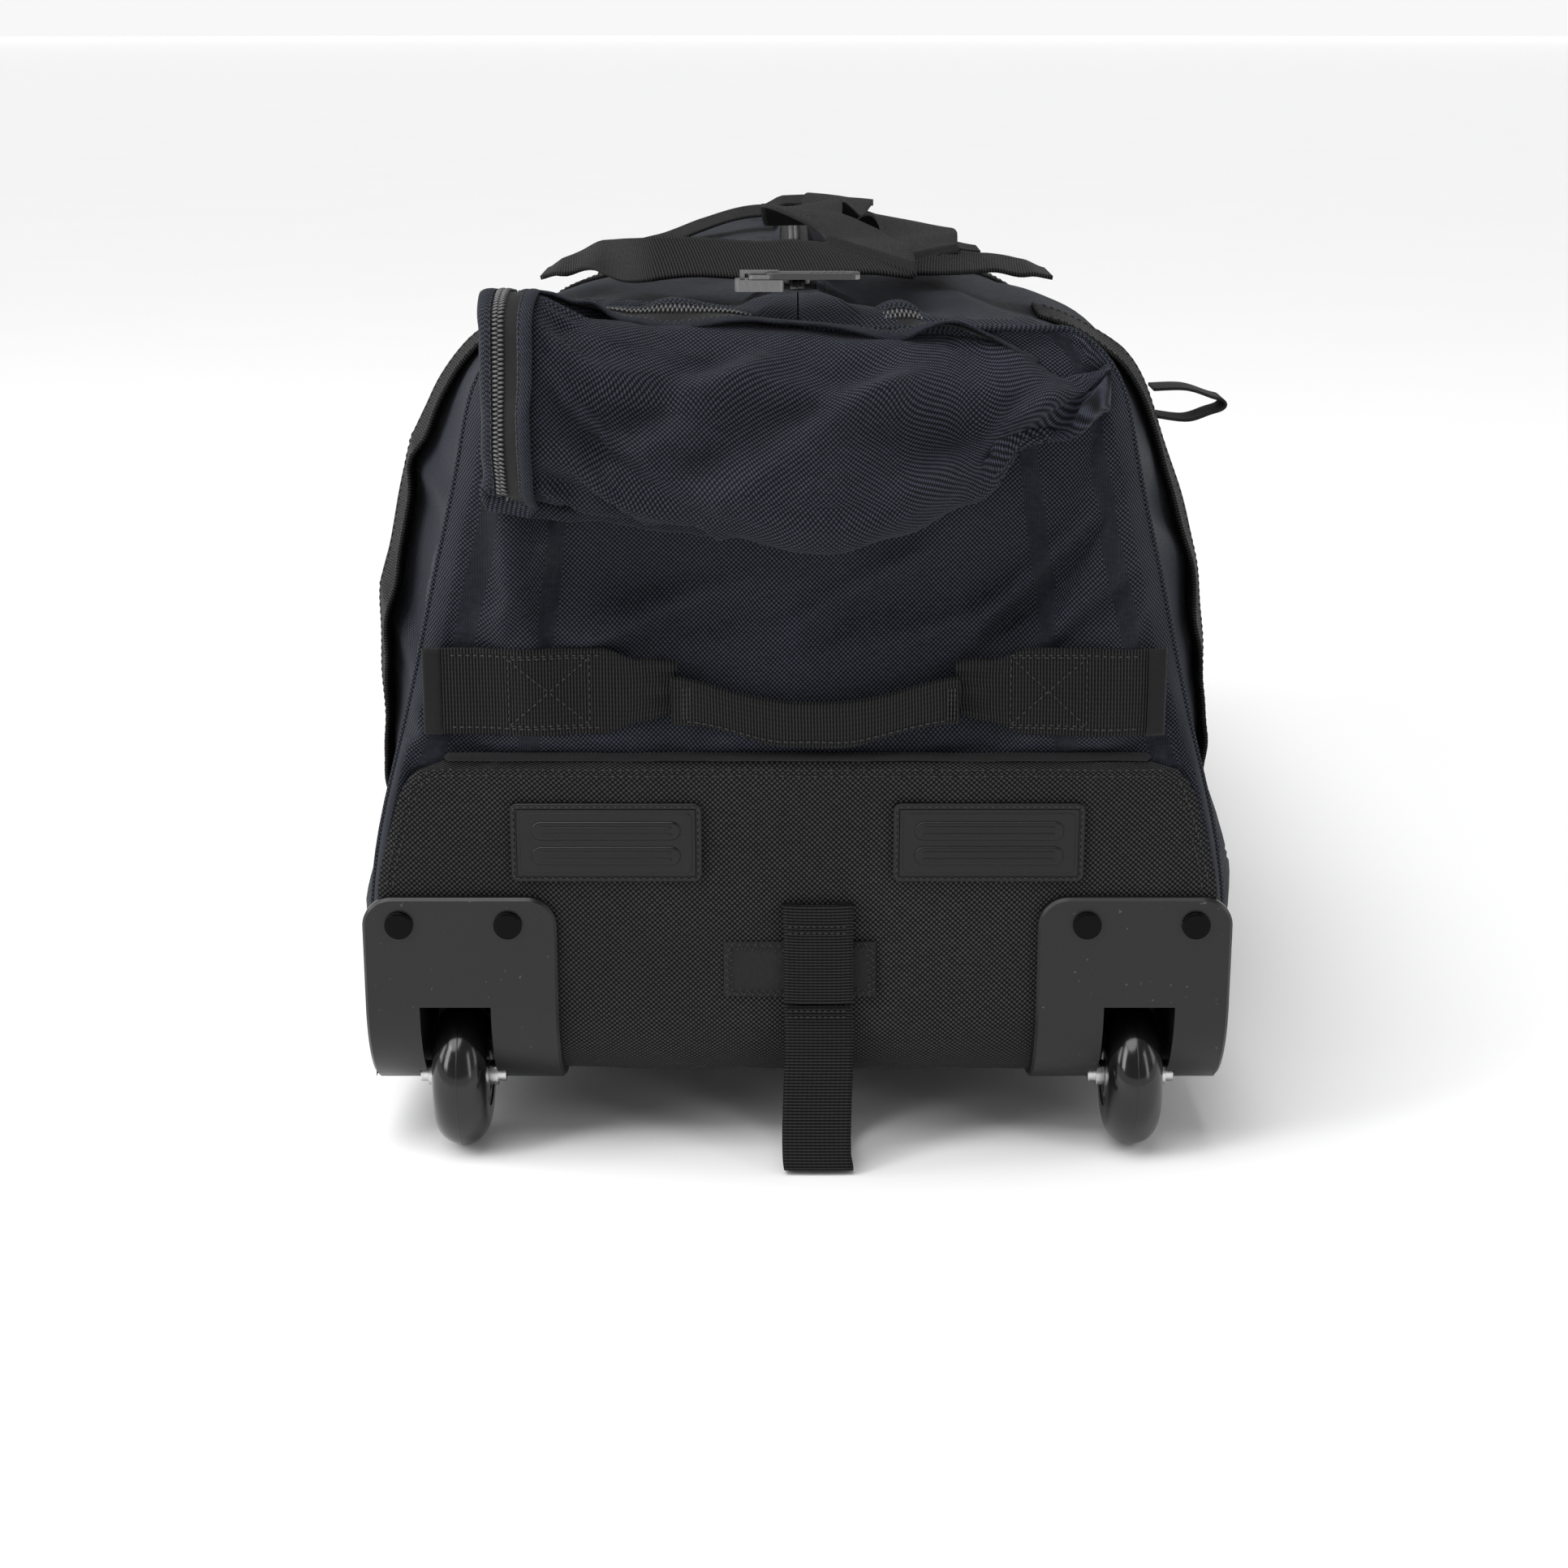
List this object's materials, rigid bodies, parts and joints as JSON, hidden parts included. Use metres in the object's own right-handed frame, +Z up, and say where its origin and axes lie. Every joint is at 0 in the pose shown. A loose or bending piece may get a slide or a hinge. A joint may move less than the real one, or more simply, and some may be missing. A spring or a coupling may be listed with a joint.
{
  "type": "rolling duffel bag",
  "caption": "Soft rolling duffel bag with skate wheels, moulded wheel housings, webbing handles, an end pocket and a top zip.",
  "frame": {"origin": "middle of the bag's length and width, on the floor it lies on", "axes": "+Y from the wheel end towards the tow-handle end, +X to the right when the wheel end is faced, +Z up"},
  "size_m": [0.4192, 0.8442, 0.3942],
  "materials": {
    "navy_fabric": "matte",
    "black_fabric": "matte",
    "webbing": "satin",
    "zip_tape": "matte",
    "zip_coil": "satin",
    "slider_metal": "satin",
    "pull_rubber": "matte",
    "housing_plastic": "matte",
    "rivet_plastic": "satin",
    "pad_rubber": "matte",
    "patch_hook": "matte",
    "tyre": "gloss",
    "hub_plastic": "satin",
    "steel": "satin",
    "board": "matte"
  },
  "bodies": {
    "bag": {"backing_plate_left": "steel", "backing_plate_right": "steel", "base_board": "board", "base_fabric": "black_fabric", "carry_legs_left": "webbing", "carry_legs_right": "webbing", "closing_strap": "webbing", "end_foot_left": "housing_plastic", "end_foot_right": "housing_plastic", "end_panel_tow": "navy_fabric", "end_panel_wheel": "navy_fabric", "end_piping": "black_fabric", "end_pocket": "navy_fabric", "end_stiffener": "board", "foot_rivets_left": "rivet_plastic", "foot_rivets_right": "rivet_plastic", "grab_anchor_left": "webbing", "grab_anchor_right": "webbing", "hook_patch": "patch_hook", "housing_rivets_left": "rivet_plastic", "housing_rivets_right": "rivet_plastic", "main_zip_coil": "zip_coil", "main_zip_tape": "zip_tape", "pocket_zip_coil": "zip_coil", "pocket_zip_tab": "zip_tape", "pocket_zip_tape": "zip_tape", "side_panel_left": "navy_fabric", "side_panel_right": "navy_fabric", "side_spacers_left": "steel", "side_spacers_right": "steel", "side_strip_left": "black_fabric", "side_strip_right": "black_fabric", "skid_pad_left": "pad_rubber", "skid_pad_right": "pad_rubber", "tow_anchors": "webbing", "wheel_axle_left": "steel", "wheel_axle_right": "steel", "wheel_housing_left": "housing_plastic", "wheel_housing_right": "housing_plastic"},
    "wheel_left": {"wheel_tyre_left": "tyre", "wheel_hub_left": "hub_plastic", "wheel_bearings_left": "steel", "bearing_sleeve_left": "steel"},
    "wheel_right": {"wheel_tyre_right": "tyre", "wheel_hub_right": "hub_plastic", "wheel_bearings_right": "steel", "bearing_sleeve_right": "steel"},
    "main_zip_slider": {"main_slider": "slider_metal"},
    "main_zip_pull": {"main_pull": "pull_rubber"},
    "pocket_zip_slider": {"pocket_slider": "slider_metal"},
    "pocket_zip_pull": {"pocket_pull": "pull_rubber"},
    "carry_left": {"carry_handle_left": "webbing"},
    "carry_right": {"carry_handle_right": "webbing"},
    "grab": {"grab_grip": "webbing"},
    "loop": {"side_loop": "webbing"},
    "strap_end": {"closing_strap_end": "webbing"},
    "tow": {"tow_handle": "webbing"}
  },
  "joints": [
    {"name": "wheel_spin_left", "type": "hinge", "parent": "bag", "child": "wheel_left", "pos_m": [-0.149, -0.37925, 0.032], "axis": [1, 0, 0], "continuous": true},
    {"name": "wheel_spin_right", "type": "hinge", "parent": "bag", "child": "wheel_right", "pos_m": [0.149, -0.37925, 0.032], "axis": [1, 0, 0], "continuous": true},
    {"name": "main_zip_travel", "type": "slide", "parent": "bag", "child": "main_zip_slider", "axis": [0, 1, 0], "range_m": [-0.025, 0.6]},
    {"name": "main_pull_lift", "type": "hinge", "parent": "main_zip_slider", "child": "main_zip_pull", "pos_m": [0, -0.28965, 0.3792], "axis": [-1, 0, 0], "range_deg": [0, 100]},
    {"name": "pocket_zip_travel", "type": "slide", "parent": "bag", "child": "pocket_zip_slider", "axis": [1, 0, 0], "range_m": [-0.085, 0.105]},
    {"name": "pocket_pull_lift", "type": "hinge", "parent": "pocket_zip_slider", "child": "pocket_zip_pull", "pos_m": [-0.0201, -0.38075, 0.384], "axis": [0, -1, 0], "range_deg": [0, 100]},
    {"name": "carry_lift_left", "type": "hinge", "parent": "bag", "child": "carry_left", "pos_m": [-0.118, 0.0005, 0.37025], "axis": [0, -1, 0], "range_deg": [0, 150]},
    {"name": "carry_lift_right", "type": "hinge", "parent": "bag", "child": "carry_right", "pos_m": [0.118, 0.0005, 0.37025], "axis": [0, 1, 0], "range_deg": [0, 150]},
    {"name": "grab_lift", "type": "hinge", "parent": "bag", "child": "grab", "pos_m": [0.0075, -0.39995, 0.219], "axis": [-1, 0, 0], "range_deg": [0, 100]},
    {"name": "side_loop_swing", "type": "hinge", "parent": "bag", "child": "loop", "pos_m": [0.187, -0.18975, 0.306], "axis": [0, 1, 0], "range_deg": [-60, 15]},
    {"name": "strap_peel", "type": "hinge", "parent": "bag", "child": "strap_end", "pos_m": [0.009, -0.40485, 0.073], "axis": [1, 0, 0], "range_deg": [0, 120]},
    {"name": "tow_lift", "type": "hinge", "parent": "bag", "child": "tow", "pos_m": [0, 0.40025, 0.3], "axis": [1, 0, 0], "range_deg": [0, 110]}
  ]
}
